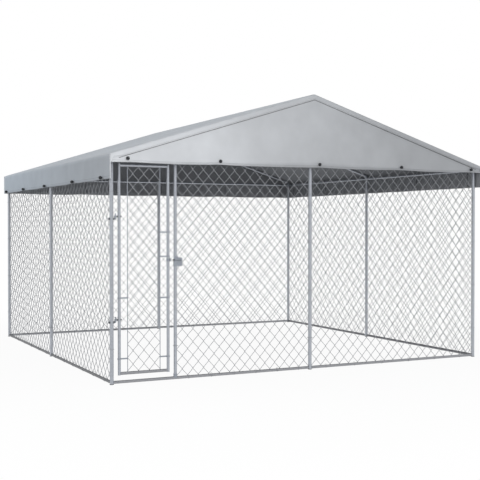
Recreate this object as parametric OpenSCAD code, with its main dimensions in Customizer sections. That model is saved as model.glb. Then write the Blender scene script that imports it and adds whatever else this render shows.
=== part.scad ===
// Outdoor dog kennel run: a square cage of galvanised tube and chain-link mesh,
// a narrow hinged door with a barrel bolt, and a gabled cover tied to the top rails.
// The origin is the middle of the footprint on the ground. The door wall faces -Y.

/* [Run] */
// Width of the run, between the axes of the corner posts
run_w = 3800; // [2800:50:4800]
// Depth of the run, between the axes of the corner posts
run_d = 3800; // [2800:50:4800]
// Height of the axis of the top rails above the ground
wall_h = 1872; // [1600:1:2200]
// Height of the axis of the bottom rails above the ground
rail_lift = 18; // [17:1:40]

/* [Tubes] */
// Diameter of the corner and middle posts
post_d = 32; // [28:1:42]
// Diameter of the rails, rafters and ridge
rail_d = 25; // [20:1:26]
// Diameter of the post that the door closes against
latch_post_d = 28; // [24:1:36]
// Wall thickness of every tube
tube_wall = 1.5; // [1:0.1:2.5]
// Length of the stubs that the rails and rafters slip over
stub_l = 60; // [30:5:100]

/* [Roof] */
// Height of the rafter's foot above the axis of the top rails
eave_lift = 31; // [30:1:60]
// Rise of the ridge above the rafter's foot
roof_rise = 592; // [300:1:900]
// Distance of the side skirts from the axis of the side posts
eave_overhang = 40; // [36:1:80]
// Distance of the gable sheets from the axis of the end posts
gable_overhang = 80; // [60:1:160]
// Thickness of the cover
cover_t = 3; // [2:0.5:5]
// Depth of the skirt below the eave on the sides and at the back
skirt_h = 205; // [120:5:300]
// Depth of the gable's hem below the eave above the door
front_hem = 63; // [50:1:64]

/* [Ties] */
// Diameter of the balls that hold the cover
ball_d = 30; // [16:1:32]
// Diameter of the elastic cord
cord_d = 5; // [3:0.5:6]
// Distance of the end ties from the axis of the corner post
tie_inset = 110; // [60:5:200]
// Distance of the middle tie from the axis of the middle post
tie_shift = 45; // [35:5:90]
// Height of the side ties above the hem of the skirt
tie_rise = 16; // [12:1:40]
// Outer diameter of the eyelets
eyelet_d = 22; // [18:1:30]

/* [Mesh] */
// Width of one mesh diamond
mesh_w = 144; // [120:4:240]
// Height of one mesh diamond
mesh_h = 164; // [136:4:260]
// Thickness of the mesh wire
wire_d = 4; // [2:0.5:5]

/* [Door] */
// Diameter of the door's tube
door_tube_d = 25; // [20:1:30]
// Width of the door, between the axes of its stiles
door_w = 436; // [400:2:700]
// Height of the axis of the door's bottom rail above the ground
door_bottom = 88; // [70:1:140]
// Distance of the axis of the door's top rail below that of the wall's top rail
door_drop = 51; // [48:1:120]
// Width of the mesh strip in the door
strip_w = 290; // [220:2:320]
// Diameter of the rods along the edges of the mesh strip
rod_d = 6; // [5:0.5:8]
// Heights of the bands on the hinge stile
left_band_z = [204, 710];
// Heights of the bands on the latch stile
right_band_z = [201, 702, 1052, 1257];

/* [Hinges] */
// Heights of the hinge pins' shanks above the ground
hinge_z = [516, 1374];
// Diameter of the hinge pin
pin_d = 10; // [8:0.5:12]
// Distance of the pin's axis from the surface of the post
hinge_reach = 18; // [18:1:30]
// Distance of the pin's axis from the surface of the door's stile
stile_reach = 19.5; // [19:0.5:30]
// Diameter of the eye bolts
eye_bolt_d = 8; // [6:0.5:10]

/* [Latch] */
// Height of the latch bolt above the ground
latch_z = 1027; // [800:1:1100]
// Gap between the door's stile and the latch post
latch_gap = 39.5; // [36:0.5:60]
// Diameter of the latch bolt
latch_bolt_d = 12; // [10:0.5:14]
// Travel of the latch bolt
latch_travel = 30; // [26:1:32]
// Width of the latch plate
plate_w = 76; // [66:1:90]
// Height of the latch plate
plate_h = 88; // [82:1:120]
// Thickness of the latch plate, the keeper and the bands
plate_t = 3; // [2:0.5:4]

/* [Clearances] */
// Gap between a tube and what it slips over or seats on
fit_gap = 0.2; // [0.1:0.05:0.4]
// Gap between neighbours that don't slide on each other
seat_gap = 0.3; // [0.2:0.05:0.5]
// Radial running clearance of the hinge pins and the latch bolt
run_gap = 0.05; // [0.02:0.01:0.1]

/* [Hidden] */
$fn = 48;
post_r = post_d / 2;
rail_r = rail_d / 2;
latch_r = latch_post_d / 2;
door_r = door_tube_d / 2;
cord_r = cord_d / 2;
ball_r = ball_d / 2;
left_x = -run_w / 2;
right_x = run_w / 2;
front_y = -run_d / 2;
rear_y = run_d / 2;
rail_end = post_r + 1;
stub_d = rail_d - 2 * tube_wall - 2 * fit_gap;
plug_d = post_d - 2 * tube_wall - 2 * fit_gap;
plug_l = 50;
foot_t = 4;
flange_t = 4;
joint_swell = 0.4;

// Roof frame and cover
pitch = atan(roof_rise / (run_w / 2));
eave_z = wall_h + eave_lift;
ridge_z = eave_z + roof_rise;
post_top = eave_z - rail_r - 1.5;
middle_post_top = wall_h + post_r;
hub_clear = rail_r + 0.5;
cover_rise = hub_clear / cos(pitch);
cover_tv = cover_t / cos(pitch);
eave_x = run_w / 2 + eave_overhang + cover_t;
gable_y = run_d / 2 + gable_overhang;
function cover_under(x) = ridge_z + cover_rise - abs(x) * tan(pitch);
hem_z = cover_under(eave_x) + cover_tv - skirt_h;
front_hem_z = cover_under(eave_x) + cover_tv - front_hem;

// Ties
tie_r = rail_r + cord_r + seat_gap;
eyelet_bore = cord_d + 5;
eyelet_t = 1.5;
tie_hook = 30;
cord_lap = 2;
front_tie_z = wall_h;
side_tie_z = hem_z + tie_rise;
tie_x = [-run_w / 2 + tie_inset, -run_w / 4, tie_shift, run_w / 4, run_w / 2 - tie_inset];
tie_y = [-run_d / 2 + tie_inset, -run_d / 4, tie_shift, run_d / 4, run_d / 2 - tie_inset];

// Door and hinges
pin_x = left_x + post_r + hinge_reach;
hinge_stile_x = pin_x + stile_reach + door_r;
latch_stile_x = hinge_stile_x + door_w;
latch_post_x = latch_stile_x + door_r + latch_gap + latch_r;
door_top = wall_h - door_drop;
stile_foot = door_bottom - door_r - 2;
stile_head = door_top + door_r;
strip_x = (hinge_stile_x + latch_stile_x) / 2;
rod_z0 = door_bottom + door_r + seat_gap;
rod_z1 = door_top - door_r - seat_gap;
band_h = 12;
rod_eye_d = rod_d + 4;
eye_lift = 20;
eye_h = 16;
eye_d = pin_d + 10;
pin_l = 45;
collar_d = pin_d + 6;
pin_nut_d = 1.9 * pin_d;
pin_nut_t = 0.8 * pin_d;
eye_nut_d = 1.9 * eye_bolt_d;
eye_nut_t = 6;
nut_tail = 4;

// Latch
plate_back = front_y - latch_r - seat_gap;
plate_front = plate_back - plate_t;
barrel_d = latch_bolt_d + 6;
barrel_sink = 0.5;
bolt_y = plate_front - barrel_d / 2 + barrel_sink;
plate_x0 = latch_post_x - latch_r - plate_t - seat_gap;
plate_z0 = latch_z - plate_h + 33;
barrel_l = 64;
bolt_tip = 17;
bolt_l = 74;
handle_d = 6;
handle_x = latch_post_x + 34;
handle_l = 19;
knob_d = 16;
screw_d = 6;
screw_head_d = 11;
screw_z = [plate_z0 + 15, latch_z + 22];
keeper_h = 24;
keeper_band = 2.4;

steel = [0.72, 0.74, 0.76];
wire_grey = [0.62, 0.64, 0.66];
zinc = [0.66, 0.68, 0.71];
silver_cloth = [0.72, 0.75, 0.79];
black = [0.05, 0.05, 0.06];

// A bar of round section and a tube, both rising from the origin
module tube(d, l) {
    difference() {
        cylinder(d = d, h = l);
        translate([0, 0, -1]) cylinder(d = d - 2 * tube_wall, h = l + 2);
    }
}

// Turns a shape that rises along Z so that it runs along X or along Y
module along_x() { rotate([0, 90, 0]) children(); }
module along_y() { rotate([-90, 0, 0]) children(); }

// A hexagonal nut that rises from the origin
module nut(d, t, bore) {
    difference() {
        cylinder(d = d, h = t, $fn = 6);
        translate([0, 0, -1]) cylinder(d = bore + 2 * fit_gap, h = t + 2);
    }
}

// Frame posts
module post(x, y, top) {
    translate([x, y, foot_t]) tube(post_d, top - foot_t);
}

module front_left_post() {
    color(steel) difference() {
        post(left_x, front_y, post_top);
        for (z = hinge_z)
            translate([left_x - post_d, front_y, z])
                along_x() cylinder(d = pin_d + 2 * fit_gap, h = 2 * post_d);
    }
}
module front_right_post() { color(steel) post(right_x, front_y, post_top); }
module rear_left_post() { color(steel) post(left_x, rear_y, post_top); }
module rear_right_post() { color(steel) post(right_x, rear_y, post_top); }
module left_middle_post() { color(steel) post(left_x, 0, post_top); }
module right_middle_post() { color(steel) post(right_x, 0, post_top); }
module front_middle_post() { color(steel) post(0, front_y, middle_post_top); }
module rear_middle_post() { color(steel) post(0, rear_y, middle_post_top); }

module latch_post() {
    foot = rail_lift + rail_r + 1;
    head = wall_h - rail_r - 1;
    color(steel) difference() {
        translate([latch_post_x, front_y, foot]) tube(latch_post_d, head - foot);
        for (z = screw_z)
            translate([latch_post_x, front_y - latch_post_d, z])
                along_y() cylinder(d = screw_d + 2 * fit_gap, h = 2 * latch_post_d);
    }
}

// Plastic plug with a flange, standing on its flange
module post_plug() {
    cylinder(d = post_d + 4, h = foot_t);
    cylinder(d = plug_d, h = foot_t + 25);
}
module post_plugs() {
    color(black) {
        for (x = [left_x, 0, right_x], y = [front_y, 0, rear_y])
            if (x != 0 || y != 0) translate([x, y, 0]) post_plug();
        for (y = [front_y, rear_y])
            translate([0, y, middle_post_top + foot_t]) mirror([0, 0, 1]) post_plug();
    }
}

// Collars that seat the latch post on the bottom rail and under the top rail
module latch_post_saddle() {
    difference() {
        cylinder(d = latch_post_d + 5, h = rail_r + 24);
        translate([0, 0, -1]) cylinder(d = latch_post_d + 2 * fit_gap, h = rail_r + 26);
        translate([-post_d, 0, 0]) along_x() cylinder(d = rail_d + 2 * fit_gap, h = 2 * post_d);
    }
}
module latch_post_saddles() {
    color(zinc) {
        translate([latch_post_x, front_y, rail_lift]) latch_post_saddle();
        translate([latch_post_x, front_y, wall_h]) mirror([0, 0, 1]) latch_post_saddle();
    }
}

// Stub from a post towards +X, with its root shaped to the post
module rail_stub() {
    difference() {
        along_x() cylinder(d = stub_d, h = rail_end + stub_l);
        translate([0, 0, -post_d]) cylinder(r = post_r + fit_gap / 2, h = 2 * post_d);
    }
}
module rail_stubs() {
    color(zinc) for (z = [rail_lift, wall_h]) {
        for (y = [front_y, rear_y], side = [0, 180])
            for (x = side == 0 ? [left_x, 0] : [0, right_x])
                translate([x, y, z]) rotate([0, 0, side]) rail_stub();
        for (x = [left_x, right_x], side = [90, 270])
            for (y = side == 90 ? [front_y, 0] : [0, rear_y])
                translate([x, y, z]) rotate([0, 0, side]) rail_stub();
    }
}

// Two rails of one wall, on each side of its middle post
module rails_x(y, z) {
    for (x = [left_x, 0])
        translate([x + rail_end, y, z]) along_x() tube(rail_d, run_w / 2 - 2 * rail_end);
}
module rails_y(x, z) {
    for (y = [front_y, 0])
        translate([x, y + rail_end, z]) along_y() tube(rail_d, run_d / 2 - 2 * rail_end);
}
module front_bottom_rails() { color(steel) rails_x(front_y, rail_lift); }
module rear_bottom_rails() { color(steel) rails_x(rear_y, rail_lift); }
module left_bottom_rails() { color(steel) rails_y(left_x, rail_lift); }
module right_bottom_rails() { color(steel) rails_y(right_x, rail_lift); }
module front_top_rails() { color(steel) rails_x(front_y, wall_h); }
module rear_top_rails() { color(steel) rails_x(rear_y, wall_h); }
module left_top_rails() { color(steel) rails_y(left_x, wall_h); }
module right_top_rails() { color(steel) rails_y(right_x, wall_h); }

// Rafters, ridge and the fittings that join them
module rafter_pair(y) {
    hub = rail_r + 1;
    rafter_l = norm([run_w / 2, roof_rise]) - 2 * hub;
    for (side = [0, 180])
        translate([0, y, ridge_z]) rotate([0, 0, side]) rotate([0, pitch, 0])
            translate([hub, 0, 0]) along_x() tube(rail_d, rafter_l);
}
module front_rafters() { color(steel) rafter_pair(front_y); }
module middle_rafters() { color(steel) rafter_pair(0); }
module rear_rafters() { color(steel) rafter_pair(rear_y); }

module ridge_tubes() {
    hub = rail_r + 1;
    color(steel) for (y = [front_y, 0])
        translate([0, y + hub, ridge_z]) along_y() tube(rail_d, run_d / 2 - 2 * hub);
}

// Elbow on a side post: a plug in the post, a flange on its end and a spigot up the rafter
module eave_fitting() {
    translate([0, 0, post_top - eave_z - plug_l]) cylinder(d = plug_d, h = plug_l + 1);
    translate([0, 0, post_top - eave_z]) cylinder(d = post_d, h = flange_t);
    translate([0, 0, post_top - eave_z]) cylinder(d = stub_d, h = eave_z - post_top);
    sphere(r = rail_r);
    rotate([0, -pitch, 0]) along_x() cylinder(d = stub_d, h = rail_r + stub_l);
}
module eave_fittings() {
    color(zinc) for (y = [front_y, 0, rear_y]) {
        translate([left_x, y, eave_z]) eave_fitting();
        translate([right_x, y, eave_z]) rotate([0, 0, 180]) eave_fitting();
    }
}
module ridge_fitting(sides) {
    translate([0, -rail_r, 0]) along_y() cylinder(r = rail_r, h = 2 * rail_r);
    for (side = [0, 180])
        rotate([0, 0, side]) rotate([0, pitch, 0]) along_x() cylinder(d = stub_d, h = rail_r + stub_l);
    for (side = sides)
        rotate([0, 0, side]) along_y() cylinder(d = stub_d, h = rail_r + stub_l);
}
module ridge_fittings() {
    color(zinc) {
        translate([0, front_y, ridge_z]) ridge_fitting([0]);
        translate([0, 0, ridge_z]) ridge_fitting([0, 180]);
        translate([0, rear_y, ridge_z]) ridge_fitting([180]);
    }
}

// Cover: two sloping panels, two side skirts and two gable sheets
module roof_panel() {
    translate([0, gable_y, 0]) rotate([90, 0, 0]) linear_extrude(2 * gable_y)
        polygon([
            [0, cover_under(0)], [eave_x, cover_under(eave_x)],
            [eave_x, cover_under(eave_x) + cover_tv], [0, cover_under(0) + cover_tv]
        ]);
}
module right_roof_panel() { color(silver_cloth) roof_panel(); }
module left_roof_panel() { color(silver_cloth) mirror([1, 0, 0]) roof_panel(); }

module skirt() {
    inner = eave_x - cover_t;
    difference() {
        translate([0, gable_y, 0]) rotate([90, 0, 0]) linear_extrude(2 * gable_y)
            polygon([
                [inner, hem_z], [eave_x, hem_z],
                [eave_x, cover_under(eave_x)], [inner, cover_under(inner)]
            ]);
        for (y = tie_y)
            translate([inner - 1, y, side_tie_z]) along_x() cylinder(d = eyelet_bore, h = cover_t + 2);
    }
}
module right_skirt() { color(silver_cloth) skirt(); }
module left_skirt() { color(silver_cloth) mirror([1, 0, 0]) skirt(); }

module gable(hem, tie_z) {
    difference() {
        translate([0, gable_y + cover_t, 0]) rotate([90, 0, 0]) linear_extrude(cover_t)
            polygon([
                [-eave_x, hem], [eave_x, hem],
                [eave_x, cover_under(eave_x) + cover_tv], [0, cover_under(0) + cover_tv],
                [-eave_x, cover_under(eave_x) + cover_tv]
            ]);
        for (x = tie_x)
            translate([x, gable_y - 1, tie_z]) along_y() cylinder(d = eyelet_bore, h = cover_t + 2);
    }
}
module front_gable() { color(silver_cloth) mirror([0, 1, 0]) gable(front_hem_z, front_tie_z); }
module rear_gable() { color(silver_cloth) gable(hem_z, side_tie_z); }

// One tie at each place on each side, drawn with its outward direction along +X
// and its origin on the axis of the top rail
module at_side_ties() {
    for (y = tie_y) {
        translate([right_x, y, wall_h]) children();
        translate([left_x, y, wall_h]) mirror([1, 0, 0]) children();
    }
}
module at_rear_ties() {
    for (x = tie_x) translate([x, rear_y, wall_h]) rotate([0, 0, 90]) children();
}
module at_front_ties() {
    for (x = tie_x) translate([x, front_y, wall_h]) rotate([0, 0, -90]) children();
}

module eyelet(reach, z) {
    translate([reach, 0, z]) along_x() difference() {
        cylinder(d = eyelet_d, h = eyelet_t);
        translate([0, 0, -1]) cylinder(d = eyelet_bore, h = eyelet_t + 2);
    }
}
module cover_eyelets() {
    color(zinc) {
        at_side_ties() eyelet(eave_overhang + cover_t, side_tie_z - wall_h);
        at_rear_ties() eyelet(gable_overhang + cover_t, side_tie_z - wall_h);
        at_front_ties() eyelet(gable_overhang + cover_t, front_tie_z - wall_h);
    }
}

function ball_reach(overhang) = overhang + cover_t + eyelet_t + seat_gap + ball_r;

// Cord over the rail, down inside the skirt and out through its eyelet
module hanging_cord(overhang) {
    drop = wall_h - side_tie_z;
    rotate([90, 0, 0]) rotate([0, 0, -cord_lap]) rotate_extrude(angle = 180 + cord_lap)
        translate([tie_r, 0]) circle(d = cord_d);
    translate([tie_r, 0, 0]) sphere(d = cord_d + joint_swell);
    translate([tie_r, 0, -drop]) cylinder(d = cord_d, h = drop + joint_swell);
    translate([tie_r, 0, -drop]) sphere(d = cord_d + joint_swell);
    translate([tie_r, 0, -drop]) along_x() cylinder(d = cord_d, h = ball_reach(overhang) - tie_r);
}
// Open ring of cord clipped over the rail, with a run straight out through the gable
module level_cord(overhang) {
    rotate([90, 0, 0]) rotate([0, 0, -tie_hook]) rotate_extrude(angle = 180 + 2 * tie_hook)
        translate([tie_r, 0]) circle(d = cord_d);
    translate([tie_r, 0, 0])
        along_x() cylinder(d = cord_d - joint_swell, h = ball_reach(overhang) - tie_r);
}
module tie_cords() {
    color(black) {
        at_side_ties() hanging_cord(eave_overhang);
        at_rear_ties() hanging_cord(gable_overhang);
        at_front_ties() level_cord(gable_overhang);
    }
}

module tie_ball(overhang, z) {
    translate([ball_reach(overhang), 0, z]) difference() {
        sphere(r = ball_r);
        translate([-ball_d, 0, 0]) along_x() cylinder(d = cord_d + 2 * fit_gap, h = ball_d + 1);
    }
}
module tie_balls() {
    color(black) {
        at_side_ties() tie_ball(eave_overhang, side_tie_z - wall_h);
        at_rear_ties() tie_ball(gable_overhang, side_tie_z - wall_h);
        at_front_ties() tie_ball(gable_overhang, front_tie_z - wall_h);
    }
}

// Mesh of w by h, standing in the XZ plane on the origin: one layer of wires slants
// to the right and the other, just behind it, to the left
module wire_bar(w, h, c, slope) {
    u0 = max(0, -c / slope);
    u1 = min(w, (h - c) / slope);
    trim = wire_d / 2 * max(slope, 1 / slope) * cos(atan(slope));
    a = [u0 + trim, slope * (u0 + trim) + c];
    b = [u1 - trim, slope * (u1 - trim) + c];
    side = wire_d / 2 * [-sin(atan(slope)), cos(atan(slope))];
    if (u1 - u0 > 4 * trim + wire_d)
        linear_extrude(wire_d) polygon([a - side, b - side, b + side, a + side]);
}
module mesh_layer(w, h) {
    slope = mesh_h / mesh_w;
    first = floor(-slope * w / mesh_h);
    last = ceil(h / mesh_h);
    for (i = [first:last]) wire_bar(w, h, (i + 0.5) * mesh_h, slope);
}
module mesh(w, h) {
    layer_gap = fit_gap / 4;
    translate([0, -layer_gap, 0]) rotate([90, 0, 0]) mesh_layer(w, h);
    translate([w, layer_gap, 0]) rotate([90, 0, 180]) mesh_layer(w, h);
}

// Mesh between two posts, from the bottom rail to the top rail
mesh_z = rail_lift + rail_r + seat_gap;
mesh_rise = wall_h - rail_lift - 2 * rail_r - 2 * seat_gap;
bay_start = post_r + seat_gap;
module mesh_x(x, y, w) {
    color(wire_grey) translate([x, y, mesh_z]) mesh(w, mesh_rise);
}
module mesh_y(x, y, w) {
    color(wire_grey) translate([x, y, mesh_z]) rotate([0, 0, 90]) mesh(w, mesh_rise);
}
bay_w = run_w / 2 - 2 * bay_start;
bay_d = run_d / 2 - 2 * bay_start;
module front_left_mesh() {
    start = latch_post_x + latch_r + seat_gap;
    mesh_x(start, front_y, -bay_start - start);
}
module front_right_mesh() { mesh_x(bay_start, front_y, bay_w); }
module rear_left_mesh() { mesh_x(left_x + bay_start, rear_y, bay_w); }
module rear_right_mesh() { mesh_x(bay_start, rear_y, bay_w); }
module left_front_mesh() { mesh_y(left_x, front_y + bay_start, bay_d); }
module left_rear_mesh() { mesh_y(left_x, bay_start, bay_d); }
module right_front_mesh() { mesh_y(right_x, front_y + bay_start, bay_d); }
module right_rear_mesh() { mesh_y(right_x, bay_start, bay_d); }

// Door: two stiles, two rails shaped to them, and a mesh strip between two rods
module door_hinge_stile() {
    color(steel) difference() {
        translate([hinge_stile_x, front_y, stile_foot]) tube(door_tube_d, stile_head - stile_foot);
        for (z = hinge_z)
            translate([hinge_stile_x - door_tube_d, front_y, z + eye_lift])
                along_x() cylinder(d = eye_bolt_d + 2 * fit_gap, h = 2 * door_tube_d);
    }
}
module door_latch_stile() {
    color(steel) translate([latch_stile_x, front_y, stile_foot])
        tube(door_tube_d, stile_head - stile_foot);
}
module door_rail(z) {
    difference() {
        translate([hinge_stile_x, front_y, z]) along_x() tube(door_tube_d, door_w);
        for (x = [hinge_stile_x, latch_stile_x])
            translate([x, front_y, z - door_tube_d])
                cylinder(d = door_tube_d + fit_gap, h = 2 * door_tube_d);
    }
}
module door_top_rail() { color(steel) door_rail(door_top); }
module door_bottom_rail() { color(steel) door_rail(door_bottom); }

module door_tension_rods() {
    color(wire_grey) for (side = [-1, 1])
        translate([strip_x + side * strip_w / 2, front_y, rod_z0]) cylinder(d = rod_d, h = rod_z1 - rod_z0);
}

// Band round a stile, with an arm of the given length that ends in an eye round the rod
module tension_band(reach) {
    difference() {
        union() {
            cylinder(d = door_tube_d + 2 * plate_t, h = band_h);
            translate([reach, 0, 0]) cylinder(d = rod_eye_d, h = band_h);
            translate([0, -plate_t / 2, 0]) cube([reach, plate_t, band_h]);
        }
        translate([0, 0, -1]) cylinder(d = door_tube_d + 2 * fit_gap, h = band_h + 2);
        translate([reach, 0, -1]) cylinder(d = rod_d + 2 * fit_gap, h = band_h + 2);
    }
}
module door_tension_bands() {
    reach = (door_w - strip_w) / 2;
    color(zinc) {
        for (z = left_band_z) translate([hinge_stile_x, front_y, z]) tension_band(reach);
        for (z = right_band_z)
            translate([latch_stile_x, front_y, z]) rotate([0, 0, 180]) tension_band(reach);
    }
}

module door_mesh() {
    w = strip_w - rod_eye_d - 2 * seat_gap;
    color(wire_grey) translate([strip_x - w / 2, front_y, rod_z0]) mesh(w, rod_z1 - rod_z0);
}

// Hinges: a bent pin through the post, and an eye bolt through the stile that hangs on it
module hinge_pintles() {
    collar_z = pin_d / 2;
    collar_h = eye_lift - eye_h / 2 - seat_gap - collar_z;
    shank_l = post_d + hinge_reach + pin_nut_t + nut_tail;
    color(zinc) for (z = hinge_z) translate([pin_x, front_y, z]) {
        rotate([0, 0, 180]) along_x() cylinder(d = pin_d, h = shank_l);
        sphere(d = pin_d + joint_swell);
        cylinder(d = pin_d, h = pin_l);
        translate([0, 0, collar_z]) cylinder(d = collar_d, h = collar_h);
    }
}
module hinge_pintle_nuts() {
    color(zinc) for (z = hinge_z, side = [0, 180])
        translate([left_x, front_y, z]) rotate([0, 0, side]) translate([post_r + seat_gap, 0, 0])
            along_x() nut(pin_nut_d, pin_nut_t, pin_d);
}
module hinge_eyes() {
    shank_l = stile_reach + door_tube_d + eye_nut_t + nut_tail;
    color(zinc) for (z = hinge_z) translate([pin_x, front_y, z + eye_lift]) difference() {
        union() {
            translate([0, 0, -eye_h / 2]) cylinder(d = eye_d, h = eye_h);
            along_x() cylinder(d = eye_bolt_d, h = shank_l);
        }
        translate([0, 0, -eye_h]) cylinder(r = pin_d / 2 + run_gap, h = 2 * eye_h);
    }
}
module hinge_eye_nuts() {
    color(zinc) for (z = hinge_z, side = [0, 180])
        translate([hinge_stile_x, front_y, z + eye_lift]) rotate([0, 0, side])
            translate([door_r + seat_gap, 0, 0]) along_x() nut(eye_nut_d, eye_nut_t, eye_bolt_d);
}

// Latch: a plate on the latch post with a barrel, and a bolt that slides towards the door
module latch_plate() {
    step_x = 0.45 * plate_w;
    step_h = 14;
    corner = 4;
    slot_x = handle_x - latch_travel - handle_d;
    slot_l = latch_travel + 2 * handle_d;
    color(zinc) difference() {
        union() {
            translate([plate_x0, plate_back, plate_z0]) rotate([90, 0, 0]) linear_extrude(plate_t)
                polygon([
                    [0, 0], [plate_w - corner, 0], [plate_w, corner],
                    [plate_w, plate_h - step_h - corner], [plate_w - corner, plate_h - step_h],
                    [step_x + step_h / 2, plate_h - step_h], [step_x, plate_h], [0, plate_h]
                ]);
            translate([plate_x0, plate_back - plate_t, plate_z0])
                cube([plate_t, latch_r + plate_t, plate_h - 33 - barrel_d / 2]);
            translate([plate_x0, bolt_y, latch_z]) along_x() cylinder(d = barrel_d, h = barrel_l);
        }
        translate([plate_x0 - 1, bolt_y, latch_z])
            along_x() cylinder(r = latch_bolt_d / 2 + run_gap, h = barrel_l + 2);
        translate([slot_x, bolt_y - barrel_d, latch_z - handle_d / 2 - 1])
            cube([slot_l, barrel_d, handle_d + 2]);
        for (z = screw_z)
            translate([latch_post_x, plate_back + 1, z]) rotate([90, 0, 0])
                cylinder(d = screw_d + 2 * fit_gap, h = plate_t + 2);
    }
}

// Two hexagon screws through the plate and the post, each with its nut behind
module latch_screws() {
    head_t = 4;
    nut_t = 5;
    shank_l = plate_t + latch_post_d + 2 * seat_gap + nut_t + nut_tail;
    color(zinc) for (z = screw_z) translate([latch_post_x, plate_front, z]) {
        along_y() cylinder(d = screw_d, h = shank_l);
        rotate([90, 0, 0]) cylinder(d = screw_head_d, h = head_t, $fn = 6);
        translate([0, shank_l - nut_t - nut_tail, 0]) along_y() nut(screw_head_d, nut_t, screw_d);
    }
}

module latch_bolt() {
    start = latch_post_x - latch_r - bolt_tip;
    color(zinc) {
        translate([start, bolt_y, latch_z]) along_x() cylinder(d = latch_bolt_d, h = bolt_l);
        translate([handle_x, bolt_y, latch_z]) rotate([90, 0, 0]) cylinder(d = handle_d, h = handle_l);
    }
}
module latch_knob() {
    neck_l = knob_d / 2 + 1;
    color(zinc) translate([handle_x, bolt_y - handle_l, latch_z]) difference() {
        union() {
            sphere(d = knob_d);
            along_y() cylinder(d = handle_d + 4, h = neck_l);
        }
        along_y() cylinder(d = handle_d + 2 * fit_gap, h = neck_l + 1);
    }
}

// Band round the door's stile with a fork that the latch bolt passes through
module latch_keeper() {
    outer = door_r + fit_gap + keeper_band;
    lug_t = 4;
    lug_y = bolt_y - latch_bolt_d;
    slot_r = latch_bolt_d / 2 + 1.5;
    color(zinc) difference() {
        union() {
            translate([latch_stile_x, front_y, latch_z - keeper_h / 2]) cylinder(r = outer, h = keeper_h);
            translate([latch_stile_x + outer - 1, lug_y, latch_z - keeper_h / 2])
                cube([lug_t, front_y + 4 - lug_y, keeper_h]);
        }
        translate([latch_stile_x, front_y, latch_z - keeper_h])
            cylinder(d = door_tube_d + 2 * fit_gap, h = 2 * keeper_h);
        translate([latch_stile_x + outer - 2, lug_y - 1, latch_z - slot_r])
            cube([lug_t + 2, bolt_y + slot_r - lug_y + 1, 2 * slot_r]);
    }
}

front_left_post();
front_right_post();
rear_left_post();
rear_right_post();
front_middle_post();
rear_middle_post();
left_middle_post();
right_middle_post();
latch_post();
post_plugs();
latch_post_saddles();
rail_stubs();
front_bottom_rails();
rear_bottom_rails();
left_bottom_rails();
right_bottom_rails();
front_top_rails();
rear_top_rails();
left_top_rails();
right_top_rails();
ridge_tubes();
front_rafters();
middle_rafters();
rear_rafters();
eave_fittings();
ridge_fittings();
left_roof_panel();
right_roof_panel();
left_skirt();
right_skirt();
front_gable();
rear_gable();
cover_eyelets();
tie_cords();
tie_balls();
front_left_mesh();
front_right_mesh();
rear_left_mesh();
rear_right_mesh();
left_front_mesh();
left_rear_mesh();
right_front_mesh();
right_rear_mesh();
door_hinge_stile();
door_latch_stile();
door_top_rail();
door_bottom_rail();
door_tension_rods();
door_tension_bands();
door_mesh();
hinge_eyes();
hinge_eye_nuts();
hinge_pintles();
hinge_pintle_nuts();
latch_plate();
latch_screws();
latch_keeper();
latch_bolt();
latch_knob();
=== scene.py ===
"""Dresses the outdoor dog kennel run: cloth cover, woven mesh, ties, fasteners and finishes."""

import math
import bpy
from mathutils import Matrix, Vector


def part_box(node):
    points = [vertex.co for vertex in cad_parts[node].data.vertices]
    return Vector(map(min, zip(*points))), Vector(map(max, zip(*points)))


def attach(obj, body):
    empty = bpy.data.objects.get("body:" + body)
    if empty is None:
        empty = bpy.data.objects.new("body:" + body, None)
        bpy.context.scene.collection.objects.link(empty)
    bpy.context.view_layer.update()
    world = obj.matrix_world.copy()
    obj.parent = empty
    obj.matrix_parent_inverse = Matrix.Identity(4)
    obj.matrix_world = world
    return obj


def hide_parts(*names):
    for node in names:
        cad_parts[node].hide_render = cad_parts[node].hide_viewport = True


bl_info = {
    "name": "Dog Kennel Run",
    "version": (1, 0, 0),
    "blender": (4, 5, 0),
    "location": "View3D > Sidebar > Kennel",
    "description": "Builds the cover, mesh, ties and finishes of an outdoor dog kennel run",
    "category": "Object",
}

from itertools import accumulate, pairwise
from types import SimpleNamespace

import bmesh
import bpy
from bpy.props import FloatProperty, FloatVectorProperty, IntProperty, PointerProperty
from mathutils import Matrix, Vector

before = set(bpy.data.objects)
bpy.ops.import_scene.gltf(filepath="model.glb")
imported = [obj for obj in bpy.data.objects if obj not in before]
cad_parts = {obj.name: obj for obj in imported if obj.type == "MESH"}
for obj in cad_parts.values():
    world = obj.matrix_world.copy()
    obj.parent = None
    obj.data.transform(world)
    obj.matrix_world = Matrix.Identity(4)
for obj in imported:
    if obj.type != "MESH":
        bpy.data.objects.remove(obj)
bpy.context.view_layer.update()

WALL_MESHES = (
    "front_left_mesh", "front_right_mesh", "rear_left_mesh", "rear_right_mesh",
    "left_front_mesh", "left_rear_mesh", "right_front_mesh", "right_rear_mesh",
)
TUBES = (
    "front_left_post", "front_right_post", "rear_left_post", "rear_right_post",
    "front_middle_post", "rear_middle_post", "left_middle_post", "right_middle_post",
    "latch_post",
    "front_top_rails", "rear_top_rails", "left_top_rails", "right_top_rails",
    "ridge_tubes", "front_rafters", "middle_rafters", "rear_rafters",
    "door_hinge_stile", "door_latch_stile", "door_top_rail",
)
GROUND_RAILS = ("front_bottom_rails", "rear_bottom_rails", "door_bottom_rail")
SIDE_GROUND_RAILS = ("left_bottom_rails", "right_bottom_rails")
FITTINGS = (
    "latch_post_saddles", "rail_stubs", "eave_fittings", "ridge_fittings",
    "latch_screws", "latch_keeper", "latch_bolt", "latch_knob", "hinge_pintles", "hinge_eyes",
    "door_tension_rods", "door_tension_bands",
)
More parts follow.
